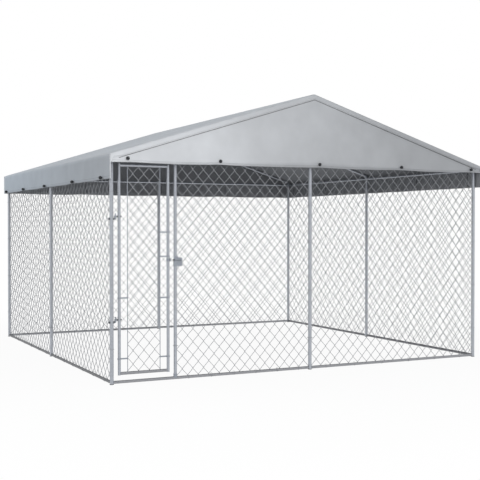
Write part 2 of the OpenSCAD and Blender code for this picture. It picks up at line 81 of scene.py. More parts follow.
HINGE_NUTS = ("hinge_pintle_nuts", "hinge_eye_nuts")

X, Y, Z = range(3)

# All lengths below are in metres. Vertices nearer than this are one vertex.
WELD = 1e-6

# The roof cloth: points and rows of its grid, its folds and bands, the outer rafters' place as a
# share of its half depth, and its ripples and waves.
EAVE_STEPS = 6
RIDGE_STEPS = 4
SKIRT_POINTS = 9
SLOPE_POINTS = 30
BAND_STEPS = 4
DEPTH_ROWS = 72
LEAST_FOLD = 0.004
BAND_GAP = 0.004
EAVE_FOLD_RISE = 0.005
NARROWS_FROM = 0.2
NARROWS_BY = 0.8
RAFTER_SPREAD = 0.96
SLOPE_RIPPLE = 0.0022
SKIRT_WAVE = 0.003
SKIRT_PULL = 0.0035
SKIRT_PULL_REACH = 0.13
HEM_LIFT = 0.0024

# The gable cloths: columns of their grid, gaps to the roof cloth, and their hang.
GABLE_COLUMNS = 150
FRONT_GABLE_ROWS = 12
REAR_GABLE_ROWS = 16
GABLE_SIDE_GAP = 0.003
GABLE_TOP_GAP = 0.004
GABLE_SETBACK = 0.001
GABLE_WAVE = 0.004
GABLE_PULL = 0.003
GABLE_PULL_WIDTH = 0.16
GABLE_PULL_HEIGHT = 0.12
GABLE_CROWN = 0.016
GABLE_CROWN_REACH = 0.8
TOP_HOLD = 1.02
HEM_SCALLOP = 0.007
HEM_LEVEL = 0.45
HEM_UNEVENNESS = 0.25
DOOR_SIDE_SLACK = 0.005
DOOR_SIDE_START = -0.42
DOOR_SIDE_STEEPNESS = 9.0
SEAMLESS_END = 0.06

# The woven wire, as shares of the wire's thickness and of a half diamond's height.
HOOK = 0.45
WEAVE = 0.52
BEND = 0.09

# The cover's ties: the cord's gap to the rail, its bend, its dip in degrees where it drops less
# than the level drop, the share of a ball's radius at which it ends, and the sizes of a ball and an
# eyelet.
CORD_GAP = 0.0003
CORD_BEND = 0.013
LEVEL_DROP = 0.02
CORD_DIP = 50
CORD_SIDES = 8
CORD_IN_BALL = 0.6
BALL_BORE = 0.0028
MOULD_SEAM = 0.0009
MOULD_SEAM_RISE = 0.00035
EYELET_RADIUS = 0.008
EYELET_ROLL = 0.0028
EYELET_RISE = 0.0011
EYELET_LIFT = 0.0002

# The wire loops that tie the mesh: how many on a rail and on a post, and how far round the mesh.
RAIL_TIES = 6
POST_TIES = 4
TIE_WIRE_RADIUS = 0.0012
TIE_GRIP = 0.0034

# The rail screws: the half section of a head with its socket, as radius and height, and places.
SCREW_HEAD = (
    (0.0, 0.0016), (0.0016, 0.0016), (0.0019, 0.0031), (0.0032, 0.0028),
    (0.0045, 0.0017), (0.0048, 0.0006), (0.0048, 0.0), (0.0, 0.0),
)
SCREW_SINK = 0.0004
SCREW_FROM_END = 0.03
SCREW_FROM_MIDDLE = 0.047

# The latch: the rounding of its pressed edges, the angles in degrees below which faces are one and
# above which an edge is rounded, and the cap's wall, dome and gap to the plate.
PRESSED_EDGE = 0.0007
FLAT_ANGLE = 1.0
SHARP_ANGLE = 50.0
CAP_WALL = 0.0009
CAP_DOME = 0.0014
CAP_GAP = 0.001

# The stage: colours, strength of the room's light, half the floor's width, how far the camera sees,
# and the lamps with their name, place, target, size, power and colour.
WHITE = (1.0, 1.0, 1.0, 1.0)
ROOM_COLOUR = (0.965, 0.98, 1.0, 1.0)
ROOM_LIGHT = 0.6
FLOOR_COLOUR = (0.6, 0.6, 0.6, 1.0)
FLOOR_HALF = 40.0
CAMERA_REACH = 200.0
LAMPS = (
    ("key_light", (-1.95, -4.35, 2.1), (-1.3, -1.9, 2.05), 1.5, 50.0, (1.0, 1.0, 1.0)),
    ("side_light", (-6.5, 3.0, 3.3), (-1.96, 1.2, 1.8), 2.0, 80.0, (0.62, 0.82, 1.0)),
    ("right_light", (3.6, -5.4, 3.0), (1.7, -1.9, 2.0), 1.2, 8.0, (1.0, 0.95, 0.88)),
    ("sky_light", (1.5, -1.0, 9.0), (0.0, 0.0, 2.0), 8.0, 104.0, (0.83, 0.92, 1.0)),
)


def srgb(red, green, blue):
    """A colour given as it looks on a screen, from 0 to 255, as linear values."""
    linear = []
    for level in (red, green, blue):
        level = level / 255
        linear.append(level / 12.92 if level <= 0.04045 else ((level + 0.055) / 1.055) ** 2.4)
    return tuple(linear)


class KennelCoverSettings(bpy.types.PropertyGroup):
    """Sizes and colours of the cloth cover."""

    thickness: FloatProperty(
        name="Cloth Thickness", description="Thickness of the coated cloth",
        default=0.0012, min=0.0003, unit="LENGTH",
    )
    eave_radius: FloatProperty(
        name="Eave Radius", description="Radius of the soft fold along the eaves",
        default=0.038, min=0.005, unit="LENGTH",
    )
    ridge_radius: FloatProperty(
        name="Ridge Radius", description="Radius of the fold along the ridge",
        default=0.06, min=0.005, unit="LENGTH",
    )
    edge_radius: FloatProperty(
        name="Edge Radius", description="Radius of the roll along the gable edges",
        default=0.022, min=0.002, unit="LENGTH",
    )
    edge_band: FloatProperty(
        name="Edge Band", description="Width of the band that folds over the gable edges",
        default=0.028, min=0.0, unit="LENGTH",
    )
    cord: FloatProperty(
        name="Cord", description="Diameter of the elastic tie cord",
        default=0.005, min=0.002, max=0.006, unit="LENGTH",
    )
    sag: FloatProperty(
        name="Sag", description="Sag of the cloth between two rafters",
        default=0.012, min=0.0, unit="LENGTH",
    )
    outside: FloatVectorProperty(
        name="Outside", description="Colour of the silver outside", subtype="COLOR",
        default=srgb(190, 192, 195), min=0.0, max=1.0,
    )
    # The inside colour is darker than the outside: the cloth's own inside with painted shade of the
    # roof's underside in it.
    inside: FloatVectorProperty(
        name="Inside", description="Colour of the dark inside", subtype="COLOR",
        default=srgb(152, 153, 156), min=0.0, max=1.0,
    )


class KennelMeshSettings(bpy.types.PropertyGroup):
    """Sizes and colour of the woven wire."""

    diamond_width: FloatProperty(
        name="Diamond Width", description="Width of one mesh diamond",
        default=0.1, min=0.03, unit="LENGTH",
    )
    diamond_height: FloatProperty(
        name="Diamond Height", description="Height of one mesh diamond",
        default=0.112, min=0.03, unit="LENGTH",
    )
    wire: FloatProperty(
        name="Wire", description="Diameter of the mesh wire",
        default=0.0045, min=0.001, unit="LENGTH",
    )
    sides: IntProperty(name="Sides", description="Sides of the round wire", default=6, min=3)
    colour: FloatVectorProperty(
        name="Wire Colour", description="Colour of the galvanised wire", subtype="COLOR",
        default=srgb(167, 169, 173), min=0.0, max=1.0,
    )


class KennelMetalSettings(bpy.types.PropertyGroup):
    """Colours of the metal and plastic pieces."""

    tube: FloatVectorProperty(
        name="Tube", description="Colour of the galvanised tubes", subtype="COLOR",
        default=srgb(182, 186, 193), min=0.0, max=1.0,
    )
    # Ground Rail is darker than Tube: painted shade of the rails near the floor.
    ground_rail: FloatVectorProperty(
        name="Ground Rail", description="Colour of the rails near the ground, darkened as painted shade",
        subtype="COLOR", default=srgb(162, 163, 167), min=0.0, max=1.0,
    )
    fitting: FloatVectorProperty(
        name="Fitting", description="Colour of the zinc-plated fittings", subtype="COLOR",
        default=srgb(158, 163, 171), min=0.0, max=1.0,
    )
    black: FloatVectorProperty(
        name="Black", description="Colour of the black plastic and cord", subtype="COLOR",
        default=srgb(26, 28, 32), min=0.0, max=1.0,
    )


class KennelStageSettings(bpy.types.PropertyGroup):
    """Place, direction and lens of the camera."""

    camera_place: FloatVectorProperty(
        name="Camera Place", description="Where the camera stands", subtype="TRANSLATION",
        default=(-4.381, -9.321, 1.314),
    )
    camera_yaw: FloatProperty(
        name="Camera Yaw", description="Turn of the camera from the depth axis", subtype="ANGLE",
        default=math.radians(26.29),
    )
    camera_pitch: FloatProperty(
        name="Camera Pitch", description="Tilt of the camera, up is positive", subtype="ANGLE",
        default=math.radians(-0.85),
    )
    camera_lens: FloatProperty(
        name="Camera Lens", description="Focal length in millimetres", default=70.35, min=10.0,
    )


def add_object(name, data):
    """A new object in the scene."""
    item = bpy.data.objects.new(name, data)
    bpy.context.scene.collection.objects.link(item)
    return item


def to_mesh(name, bm):
    """A new mesh from a bmesh, which is then freed."""
    mesh = bpy.data.meshes.new(name)
    bm.to_mesh(mesh)
    bm.free()
    return mesh


def new_piece(name, bm, materials, body, sharp=None):
    """Turns a bmesh into an object at the origin that rides on a body."""
    mesh = to_mesh(name, bm)
    for material in materials:
        mesh.materials.append(material)
    mesh.shade_smooth()
    if sharp is not None:
        mesh.set_sharp_from_angle(angle=math.radians(sharp))
    piece = add_object(name, mesh)
    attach(piece, body)
    return piece


def feed(tree, node, inputs):
    """Links each input of a node to a socket, or sets it to a value."""
    for name, value in inputs.items():
        if isinstance(value, bpy.types.NodeSocket):
            tree.links.new(value, node.inputs[name])
        else:
            node.inputs[name].default_value = value


def add_node(tree, kind, inputs=()):
    """A new shader node, with some of its inputs linked or set."""
    node = tree.nodes.new(kind)
    feed(tree, node, dict(inputs))
    return node


def make_material(name, fill, colour, **details):
    """A node material, made once. The fill function gives the inputs of its shader."""
    material = bpy.data.materials.get(name)
    if material is None:
        material = bpy.data.materials.new(name)
        material.use_nodes = True
        tree = material.node_tree
        place = add_node(tree, "ShaderNodeTexCoord").outputs["Object"]
        feed(tree, tree.nodes["Principled BSDF"], fill(tree, place, colour, **details))
    return material


def attribute(tree, name):
    """A node that reads an attribute of the piece."""
    node = add_node(tree, "ShaderNodeAttribute")
    node.attribute_name = name
    return node


def joined(tree, operation, *levels):
    """Levels joined by a calculation."""
    node = add_node(tree, "ShaderNodeMath", enumerate(levels))
    node.operation = operation
    return node.outputs["Value"]


def noise(tree, place, scale, detail=3.0, roughness=0.5):
    """A noise texture read at a place, giving its level."""
    inputs = {"Vector": place, "Scale": scale, "Detail": detail, "Roughness": roughness}
    return add_node(tree, "ShaderNodeTexNoise", inputs).outputs["Fac"]


def ramp(tree, level, low, high, start=0.3, end=0.7):
    """A colour that runs from low to high as the level rises."""
    node = add_node(tree, "ShaderNodeValToRGB", {"Fac": level})
    for stop, position, colour in zip(node.color_ramp.elements, (start, end), (low, high)):
        stop.position = position
        stop.color = (*colour, 1.0)
    return node.outputs["Color"]


def spread(tree, level, low, high, start=0.25, end=0.75, kind="LINEAR"):
    """A number that runs from low to high as the level rises."""
    inputs = {"Value": level, "From Min": start, "From Max": end, "To Min": low, "To Max": high}
    node = add_node(tree, "ShaderNodeMapRange", inputs)
    node.interpolation_type = kind
    return node.outputs["Result"]


def bump(tree, level, strength, distance, onto=None):
    """A bump from a level, on top of another bump where one is given."""
    inputs = {"Height": level, "Strength": strength, "Distance": distance}
    if onto is not None:
        inputs["Normal"] = onto
    return add_node(tree, "ShaderNodeBump", inputs).outputs["Normal"]


def shade(colour, factor):
    """A colour made lighter or darker."""
    return tuple(min(1.0, level * factor) for level in colour)


def zinc(tree, place, colour, spangle, metallic, rough):
    """Zinc with a faint crystal pattern, and dull patches."""
    crystal_share = 0.35
    crystals = add_node(tree, "ShaderNodeTexVoronoi", {"Vector": place, "Scale": spangle})
    grey = add_node(tree, "ShaderNodeSeparateColor", {"Color": crystals.outputs["Color"]})
    blotch = noise(tree, place, scale=9.0, detail=4.0, roughness=0.6)
    tone = joined(tree, "MULTIPLY_ADD", grey.outputs["Red"], crystal_share, blotch)
    dark, light = shade(colour, 0.86), shade(colour, 1.08)
    return {
        "Base Color": ramp(tree, tone, dark, light, start=0.35, end=1.0),
        "Roughness": spread(tree, blotch, low=rough - 0.07, high=rough + 0.1),
        "Normal": bump(tree, noise(tree, place, scale=420.0), strength=0.12, distance=0.0004),
        "Metallic": metallic,
    }


def wire_finish():
    """The dull zinc of the woven wire."""
    colour = bpy.context.scene.kennel_mesh.colour
    return make_material("dull_wire", zinc, colour, spangle=260.0, metallic=0.5, rough=0.5)


def zinc_finish():
    """The satin zinc of the small fittings."""
    colour = bpy.context.scene.kennel_metal.fitting
    return make_material("satin_zinc", zinc, colour, spangle=120.0, metallic=0.5, rough=0.45)


def moulded(tree, place, colour):
    """Matt moulded plastic with a fine grain."""
    patch = noise(tree, place, scale=45.0)
    return {
        "Base Color": ramp(tree, patch, shade(colour, 0.8), shade(colour, 1.35)),
        "Roughness": spread(tree, patch, low=0.38, high=0.55),
        "Normal": bump(tree, noise(tree, place, scale=900.0), strength=0.2, distance=0.0002),
    }


def black_plastic():
    """The black of the balls, the plugs and the bolt's cap."""
    return make_material("moulded_black", moulded, bpy.context.scene.kennel_metal.black)


def braided(tree, place, colour):
    """Elastic cord in a sleeve, whose strands cross as they wind along it."""
    strand_pairs = 4.0
    winding = 1600.0
    turn = attribute(tree, "turn")
    parts = add_node(tree, "ShaderNodeSeparateXYZ", {"Vector": turn.outputs["Vector"]})
    angle = joined(tree, "ARCTAN2", parts.outputs["Y"], parts.outputs["X"])
    around = joined(tree, "MULTIPLY", angle, strand_pairs)
    along = joined(tree, "MULTIPLY", parts.outputs["Z"], winding)
    left = joined(tree, "SINE", joined(tree, "ADD", along, around))
    right = joined(tree, "SINE", joined(tree, "SUBTRACT", along, around))
    strands = joined(tree, "MAXIMUM", left, right)
    dark, light = shade(colour, 0.5), shade(colour, 1.5)
    patch = noise(tree, place, scale=60.0)
    return {
        "Base Color": ramp(tree, strands, dark, light, start=0.0, end=1.0),
        "Normal": bump(tree, strands, strength=0.6, distance=0.0004),
        "Roughness": spread(tree, patch, low=0.72, high=0.88),
    }


def cloth(tree, place, colour, rough, seams):
    """Coated woven cloth. Each seam is an attribute with its distance in metres from an edge,
    the distance of the line from that edge, half the line's width and how dark it is."""
    crease_shading_share = 0.55
    # The dark tone of the seam lines: stitching, and under the gable's edge band also painted shadow.
    seam_and_shadow_tone = (*shade(colour, 0.16), 1.0)
    # The mottle and the creases darken and lighten the colour in soft patches: partly the cloth's own
    # uneven tone, partly painted shade of soft wrinkles.
    mottle = noise(tree, place, scale=1.3, detail=4.0, roughness=0.55)
    crease_shading = joined(tree, "SUBTRACT", noise(tree, place, scale=6.0, detail=2.0), 0.5)
    tone = joined(tree, "MULTIPLY_ADD", crease_shading, crease_shading_share, mottle)
    tint = ramp(tree, tone, shade(colour, 0.92), shade(colour, 1.05))
    flat = add_node(tree, "ShaderNodeUVMap")
    flat.uv_map = "flat"
    relief = None
    for direction in ("X", "Y"):
        inputs = {"Vector": flat.outputs["UV"], "Scale": 75.0, "Distortion": 0.4}
        weave = add_node(tree, "ShaderNodeTexWave", inputs)
        weave.bands_direction = direction
        relief = bump(tree, weave.outputs["Fac"], strength=0.1, distance=0.0003, onto=relief)
    hollows = noise(tree, place, scale=5.5)
    relief = bump(tree, hollows, strength=0.25, distance=0.006, onto=relief)
    for edge, at, half_width, dark in seams:
        line = joined(tree, "COMPARE", attribute(tree, edge).outputs["Fac"], at, half_width)
        blend = add_node(tree, "ShaderNodeMix")
        blend.data_type = "RGBA"
        share = joined(tree, "MULTIPLY", line, dark)
        feed(tree, blend, {"Factor": share, "A": tint, "B": seam_and_shadow_tone})
        tint = blend.outputs["Result"]
        relief = bump(tree, line, strength=0.3, distance=0.001, onto=relief)
    return {
        "Base Color": tint,
        "Normal": relief,
        "Roughness": spread(tree, mottle, low=rough - 0.06, high=rough + 0.08),
        "Specular IOR Level": 0.2,
    }


def cover_materials():
    """The silver outsides of the roof and the gables with their seams, and the dark inside."""
    settings = bpy.context.scene.kennel_cover
    outside = make_material(
        "silver_cloth", cloth, settings.outside, rough=0.68,
        seams=(("hem_distance", 0.022, 0.0009, 0.55), ("band_distance", 0.009, 0.0008, 0.5)),
    )
    # The gable's dark line under its edge band is partly a seam and partly painted shadow of the band's
    # gap.
    gable = make_material(
        "gable_cloth", cloth, settings.outside, rough=0.68,
        seams=(("hem_distance", 0.016, 0.0009, 0.5), ("edge_distance", 0.049, 0.003, 0.7)),
    )
    # The inside's darker colour is partly painted shade.
    inside = make_material(
        "dark_cloth", cloth, settings.inside, rough=0.7,
        seams=(("hem_distance", 0.022, 0.0009, 0.4),),
    )
    return outside, gable, inside


def half_size(node, axis):
    """Half of a node's extent along an axis."""
    low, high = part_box(node)
    return (high[axis] - low[axis]) / 2


def wall_box(node):
    """Low and high corner of a node that lies in a wall, and the axis along that wall."""
    low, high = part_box(node)
    return low, high, X if high.x - low.x > high.y - low.y else Y


def welded_copy(node):
    """A copy of a node's mesh, with its doubled vertices merged."""
    bm = bmesh.new()
    bm.from_mesh(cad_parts[node].data)
    bmesh.ops.remove_doubles(bm, verts=bm.verts, dist=WELD)
    return bm


def loose_pieces(node):
    """Middle and size of each of a node's separate pieces."""
    bm = welded_copy(node)
    places = []
    waiting = set(bm.verts)
    for start in bm.verts:
        if start not in waiting:
            continue
        waiting.remove(start)
        group = [start]
        for vert in group:
            near = {edge.other_vert(vert) for edge in vert.link_edges} & waiting
            waiting -= near
            group.extend(near)
        low = Vector([min(vert.co[axis] for vert in group) for axis in (X, Y, Z)])
        high = Vector([max(vert.co[axis] for vert in group) for axis in (X, Y, Z)])
        places.append(((low + high) / 2, high - low))
    bm.free()
    return places


def middles(node):
    """Middle of each of a node's separate pieces."""
    return [middle for middle, _ in loose_pieces(node)]


def cover_shape():
    """Half width and half depth, heights of hems, eave and ridge, and slope of the cover."""
    panel_low, panel_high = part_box("left_roof_panel")
    skirt_low, skirt_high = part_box("left_skirt")
    gable_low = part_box("front_gable")[0]
    thickness = skirt_high.x - skirt_low.x
    half_width = -panel_low.x
    pitch = math.atan((panel_high.z - panel_low.z - thickness) / half_width)
    eave = panel_low.z + thickness / math.cos(pitch)
    return SimpleNamespace(
        half_width=half_width,
        half_depth=-gable_low.y,
        hem=skirt_low.z,
        front_hem=gable_low.z,
        eave=eave,
        ridge=panel_high.z,
        slope=math.atan((panel_high.z - eave) / half_width),
    )


def rounded_corner(before, corner, after, radius, steps):
    """Points of the arc that rounds a corner between two straight runs."""
    into = (corner - before).normalized()
    out = (after - corner).normalized()
    turn = into.angle(out)
    reach = radius * math.tan(turn / 2)
    start = corner - into * reach
    side = Vector((-into.y, into.x))
    if side.dot(out) < 0:
        side = -side
    centre = start + side * radius
    points = []
    for step in range(steps + 1):
        angle = turn * step / steps
        points.append(centre - side * radius * math.cos(angle) + into * radius * math.sin(angle))
    return points


def even_run(start, end, count):
    """Points between two points, without the two."""
    return [start.lerp(end, (step + 1) / (count + 1)) for step in range(count)]


def cover_outline(shape, settings, inset):
    """The cover's section, from the left hem over the ridge to the right hem, set in by a distance."""
    edge = shape.half_width - inset
    drop = inset / math.cos(shape.slope)
    eave = shape.eave - drop + inset * math.tan(shape.slope)
    corners = [
        Vector((-edge, shape.hem)), Vector((-edge, eave)), Vector((0.0, shape.ridge - drop)),
        Vector((edge, eave)), Vector((edge, shape.hem)),
    ]
    folds = (
        (SKIRT_POINTS, settings.eave_radius, EAVE_STEPS),
        (SLOPE_POINTS, settings.ridge_radius, RIDGE_STEPS),
        (SLOPE_POINTS, settings.eave_radius, EAVE_STEPS),
    )
    points = [corners[0]]
    for index, (count, radius, steps) in enumerate(folds):
        around = corners[index:index + 3]
        fold = rounded_corner(*around, max(radius - inset, LEAST_FOLD), steps)
        points += even_run(points[-1], fold[0], count) + fold
    return points + even_run(points[-1], corners[-1], SKIRT_POINTS) + [corners[-1]]


def cover_depth(shape, settings):
    """Rows of the cover from its front band to its rear band: inset and place along the depth."""
    roll = settings.edge_radius
    face = shape.half_depth + BAND_GAP
    inner = face - roll
    rows = []
    for step in range(BAND_STEPS, 0, -1):
        rows.append((roll + settings.edge_band * step / BAND_STEPS, -face))
    for step in range(BAND_STEPS + 1):
        angle = math.pi / 2 * step / BAND_STEPS
        rows.append((roll * (1 - math.sin(angle)), -face + roll * (1 - math.cos(angle))))
    middle = []
    for step in range(DEPTH_ROWS):
        middle.append((0.0, -inner + 2 * inner * (step + 1) / (DEPTH_ROWS + 1)))
    return rows + middle + [(inset, -place) for inset, place in reversed(rows)]


def ripple(along, across, seed):
    """A gentle uneven wave, from about -1 to 1."""
    first = math.sin(3.1 * along + 1.7 * across + seed)
    second = math.sin(7.3 * along - 2.9 * across + 2.3 * seed)
    third = math.sin(12.7 * along + 5.1 * across + 4.1 * seed)
    return 0.5 * first + 0.32 * second + 0.18 * third


def bell(offset, width):
    """One at a place, falling softly to zero with the distance from it."""
    return math.exp(-((offset / width) ** 2))


def cloth_piece(name, columns, rows, spot, out, materials, edge_name):
    """A cloth laid on a grid, thickened on its inner side. For a column and a row, spot gives the
    place in space, the place on the flat cloth, and the distances from the hem and another edge."""
    bm = bmesh.new()
    bmesh.ops.create_grid(bm, x_segments=columns, y_segments=rows, size=1.0)
    flat = []
    hem = []
    edge = []
    for vert in bm.verts:
        column = round((vert.co.x + 1) / 2 * columns)
        row = round((vert.co.y + 1) / 2 * rows)
        vert.co, on_cloth, from_hem, from_edge = spot(column, row)
        flat.append(on_cloth)
        hem.append(from_hem)
        edge.append(from_edge)
    bmesh.ops.recalc_face_normals(bm, faces=bm.faces)
    outermost = max(bm.faces, key=lambda face: face.calc_center_median().dot(out))
    if outermost.normal.dot(out) < 0:
        bmesh.ops.reverse_faces(bm, faces=bm.faces)
    piece = new_piece(name, bm, materials, "frame")
    mesh = piece.data
    layer = mesh.uv_layers.new(name="flat")
    for loop in mesh.loops:
        layer.data[loop.index].uv = flat[loop.vertex_index]
    for attribute_name, values in (("hem_distance", hem), (edge_name, edge)):
        mesh.attributes.new(attribute_name, "FLOAT", "POINT").data.foreach_set("value", values)
    wall = piece.modifiers.new("thickness", "SOLIDIFY")
    wall.thickness = bpy.context.scene.kennel_cover.thickness
    wall.offset = -1.0
    wall.material_offset = 1
    return piece


class KENNEL_OT_roof_cover(bpy.types.Operator):
    """Lays the silver cloth over the rafters, with its skirts and folded gable edges"""

    bl_idname = "kennel.roof_cover"
    bl_label = "Roof Cover"

    def execute(self, context):
        settings = context.scene.kennel_cover
        shape = cover_shape()
        depth = cover_depth(shape, settings)
        outlines = {inset: cover_outline(shape, settings, inset) for inset, _ in depth}
        section = outlines[0.0]
        steps = [(end - start).length for start, end in pairwise(section)]
        along = list(accumulate(steps, initial=0.0))
        steps = [math.dist(start, end) for start, end in pairwise(depth)]
        across = list(accumulate(steps, initial=0.0))
        ties = [ball.y for ball in middles("tie_balls") if ball.x < -shape.half_width]

        def spot(column, row):
            inset, place = depth[row]
            point = outlines[inset][column]
            if place < 0:
                below = (shape.eave - point.y) / (shape.eave - shape.front_hem)
                narrow = min(1.0, max(0.0, below - NARROWS_FROM))
                point = point.lerp(section[column], NARROWS_BY * narrow)
            x, z = self.draped(point, place, shape, ties, settings)
            hem = min(along[column], along[-1] - along[column])
            band = min(across[row], across[-1] - across[row])
            return (x, place, z), (along[column], across[row]), hem, band

        outside, _, inside = cover_materials()
        piece = cloth_piece(
            "roof_cover_cloth", len(section) - 1, len(depth) - 1, spot, Vector((0.0, 0.0, 1.0)),
            (outside, inside), "band_distance",
        )
        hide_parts("left_roof_panel", "right_roof_panel", "left_skirt", "right_skirt")
        return {"FINISHED"}

    def draped(self, point, place, shape, ties, settings):
        """A point of the section as it sags between rafters, ripples, and is drawn in by ties."""
        x, z = point
        inner = shape.half_depth - settings.edge_radius
        body = max(0.0, 1.0 - (place / inner) ** 8)
        if z > shape.eave + EAVE_FOLD_RISE:
            span = math.sin(math.pi * min(1.0, abs(x) / shape.half_width))
            bay = math.sin(math.pi * place / (inner * RAFTER_SPREAD)) ** 2
            wave = ripple(along=1.3 * x, across=1.1 * place, seed=0.4)
            return x, z - settings.sag * span * bay * body + SLOPE_RIPPLE * span * wave * body
        hang = (shape.eave - z) / (shape.eave - shape.hem)
        side = math.copysign(1.0, x)
        pull = max(bell(place - tie, SKIRT_PULL_REACH) for tie in ties)
        wave = ripple(along=2.2 * place, across=0.6 * z, seed=1.0 + side)
        x += side * hang * (SKIRT_WAVE * wave - SKIRT_PULL * pull) * body
        return x, z + HEM_LIFT * hang ** 3 * (wave + pull) * body


class KENNEL_OT_gables(bpy.types.Operator):
    """Hangs the gable cloths at the front and the back"""

    bl_idname = "kennel.gables"
    bl_label = "Gables"

    def execute(self, context):
        shape = cover_shape()
        self.hang("front_gable_cloth", "front_gable", shape, -1.0, shape.front_hem, FRONT_GABLE_ROWS)
        self.hang("rear_gable_cloth", "rear_gable", shape, 1.0, shape.hem, REAR_GABLE_ROWS)
        return {"FINISHED"}

    def hang(self, name, node, shape, side, hem_height, rows):
        """One gable cloth, at the front with side -1 or at the back with side 1."""
        steep = math.tan(shape.slope)
        square = math.cos(shape.slope)
        half = shape.half_width - GABLE_SIDE_GAP
        low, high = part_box(node)
        outer = -low.y if side < 0 else high.y
        balls = [ball for ball in middles("tie_balls") if ball.y * side > outer]

        def spot(column, row):
            x = -half + 2 * half * column / GABLE_COLUMNS
            top = shape.ridge - abs(x) * steep - GABLE_TOP_GAP / square
            rise = row / rows
            z = hem_height + (top - hem_height) * rise
            inside = math.sin(math.pi * min(1.0, rise * TOP_HOLD)) if rise > 0.5 else 1.0
            ends = max(0.0, 1.0 - (x / half) ** 10)
            near = max(bell(x - ball.x, GABLE_PULL_WIDTH) for ball in balls)
            pull = GABLE_PULL * near * bell(z - balls[0].z, GABLE_PULL_HEIGHT)
            wave = ripple(along=1.9 * x, across=1.4 * z, seed=0.8 + side)
            place = outer - GABLE_SETBACK - (GABLE_WAVE + GABLE_WAVE * wave - pull) * inside * ends
            middle = max(0.0, 1.0 - abs(x) / GABLE_CROWN_REACH)
            place += GABLE_CROWN * middle * math.sin(math.pi * rise)
            scallop = near - HEM_LEVEL + HEM_UNEVENNESS * wave
            sag = HEM_SCALLOP * (1.0 - rise) ** 4 * scallop * ends
            if side < 0:
                fall = DOOR_SIDE_STEEPNESS * (x / half - DOOR_SIDE_START)
                door_side = 1.0 / (1.0 + math.exp(fall))
                sag -= DOOR_SIDE_SLACK * door_side * (1.0 - rise) ** 3
            edge = (top - z) * square if abs(x) < half - SEAMLESS_END else 1.0
            return (x, side * place, z + sag), (x, z), z - hem_height, edge

        _, gable, dark = cover_materials()
        piece = cloth_piece(
            name, GABLE_COLUMNS, rows, spot, Vector((0.0, side, 0.0)), (gable, dark), "edge_distance"
        )
        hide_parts(node)


def scatter(shape, places, onto=None):
    """Sets copies of a small shape at many places, in one mesh."""
    bmesh.ops.recalc_face_normals(shape, faces=shape.faces)
    master = to_mesh("shape", shape)
    bm = onto if onto is not None else bmesh.new()
    for place in places:
        copy = master.copy()
        copy.transform(place)
        bm.from_mesh(copy)
        bpy.data.meshes.remove(copy)
    bpy.data.meshes.remove(master)
    return bm


def grow(bm, edges):
    """Extrudes the open end of a wire or cord, and gives the new end's vertices and edges."""
    grown = bmesh.ops.extrude_edge_only(bm, edges=edges)["geom"]
    verts = [item for item in grown if isinstance(item, bmesh.types.BMVert)]
    edges = [item for item in grown if isinstance(item, bmesh.types.BMEdge)]
    return verts, [edge for edge in edges if edge.is_boundary]


def close_ends(bm):
    """Closes both ends of a wire or cord."""
    bmesh.ops.holes_fill(bm, edges=[edge for edge in bm.edges if edge.is_boundary], sides=0)


def zigzag_wire(start_right, pitch, step, rows):
    """One zigzag wire that rises from z = 0 between x = 0 and x = pitch, weaving front and back."""
    sides = bpy.context.scene.kennel_mesh.sides
    wire = bpy.context.scene.kennel_mesh.wire
    bm = bmesh.new()
    lean = math.atan(pitch / step)
    verts = bmesh.ops.create_circle(bm, cap_ends=False, segments=sides, radius=wire / 2)["verts"]
    bmesh.ops.scale(bm, vec=(1 / math.cos(lean), 1.0, 1.0), verts=verts)
    hook = HOOK * wire
    bend = BEND * step
    points = []
    for row in range(rows + 1):
        right = (row % 2 == 1) != start_right
        bend_x = pitch + hook if right else -hook
        other_x = -hook if right else pitch + hook
        front = wire * WEAVE if right else -wire * WEAVE
        toward = bend_x + (other_x - bend_x) * BEND
        height = row * step
        if row > 0:
            points.append((toward, front, height - bend))
        points.append((bend_x, 0.0, height))
        if row < rows:
            points.append((toward, -front, height + bend))
    here = Vector(points[0])
    bmesh.ops.translate(bm, vec=here, verts=verts)
    edges = list(bm.edges)
    for point in points[1:]:
        verts, edges = grow(bm, edges)
        bmesh.ops.translate(bm, vec=Vector(point) - here, verts=verts)
        here = Vector(point)
    close_ends(bm)
    return bm


def chain_link(name, node, body, reach=0.0):
    """Woven wire in the space that a mesh node holds, a little wider where it reaches round rods."""
    settings = bpy.context.scene.kennel_mesh
    low, high, axis = wall_box(node)
    width = high[axis] - low[axis] + 2 * reach
    height = high.z - low.z
    columns = max(2, round(2 * width / settings.diamond_width))
    rows = 2 * max(1, round(height / settings.diamond_height))
    pitch = width / columns
    corner = (low + high) / 2
    corner[axis] = low[axis] - reach
    corner.z = low.z
    start = Matrix.Translation(corner) @ Matrix.Rotation(axis * math.pi / 2, 4, "Z")
    bm = None
    for first in (0, 1):
        wire = zigzag_wire(first == 1, pitch, height / rows, rows)
        places = []
        for column in range(first, columns, 2):
            places.append(start @ Matrix.Translation((pitch * column, 0.0, 0.0)))
        bm = scatter(wire, places, bm)
    piece = new_piece(name, bm, (wire_finish(),), body)
    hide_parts(node)


class KENNEL_OT_wall_mesh(bpy.types.Operator):
    """Weaves the chain-link panels of the four walls"""

    bl_idname = "kennel.wall_mesh"
    bl_label = "Wall Mesh"

    def execute(self, context):
        for node in WALL_MESHES:
            chain_link(node + "_wire", node, "frame")
        return {"FINISHED"}


class KENNEL_OT_door_mesh(bpy.types.Operator):
    """Weaves the narrow mesh strip of the door"""

    bl_idname = "kennel.door_mesh"
    bl_label = "Door Mesh"

    def execute(self, context):
        rods = "door_tension_rods"
        reach = half_size(rods, X) - half_size(rods, Y) - half_size("door_mesh", X)
        chain_link("door_mesh_wire", "door_mesh", "door", reach)
        return {"FINISHED"}


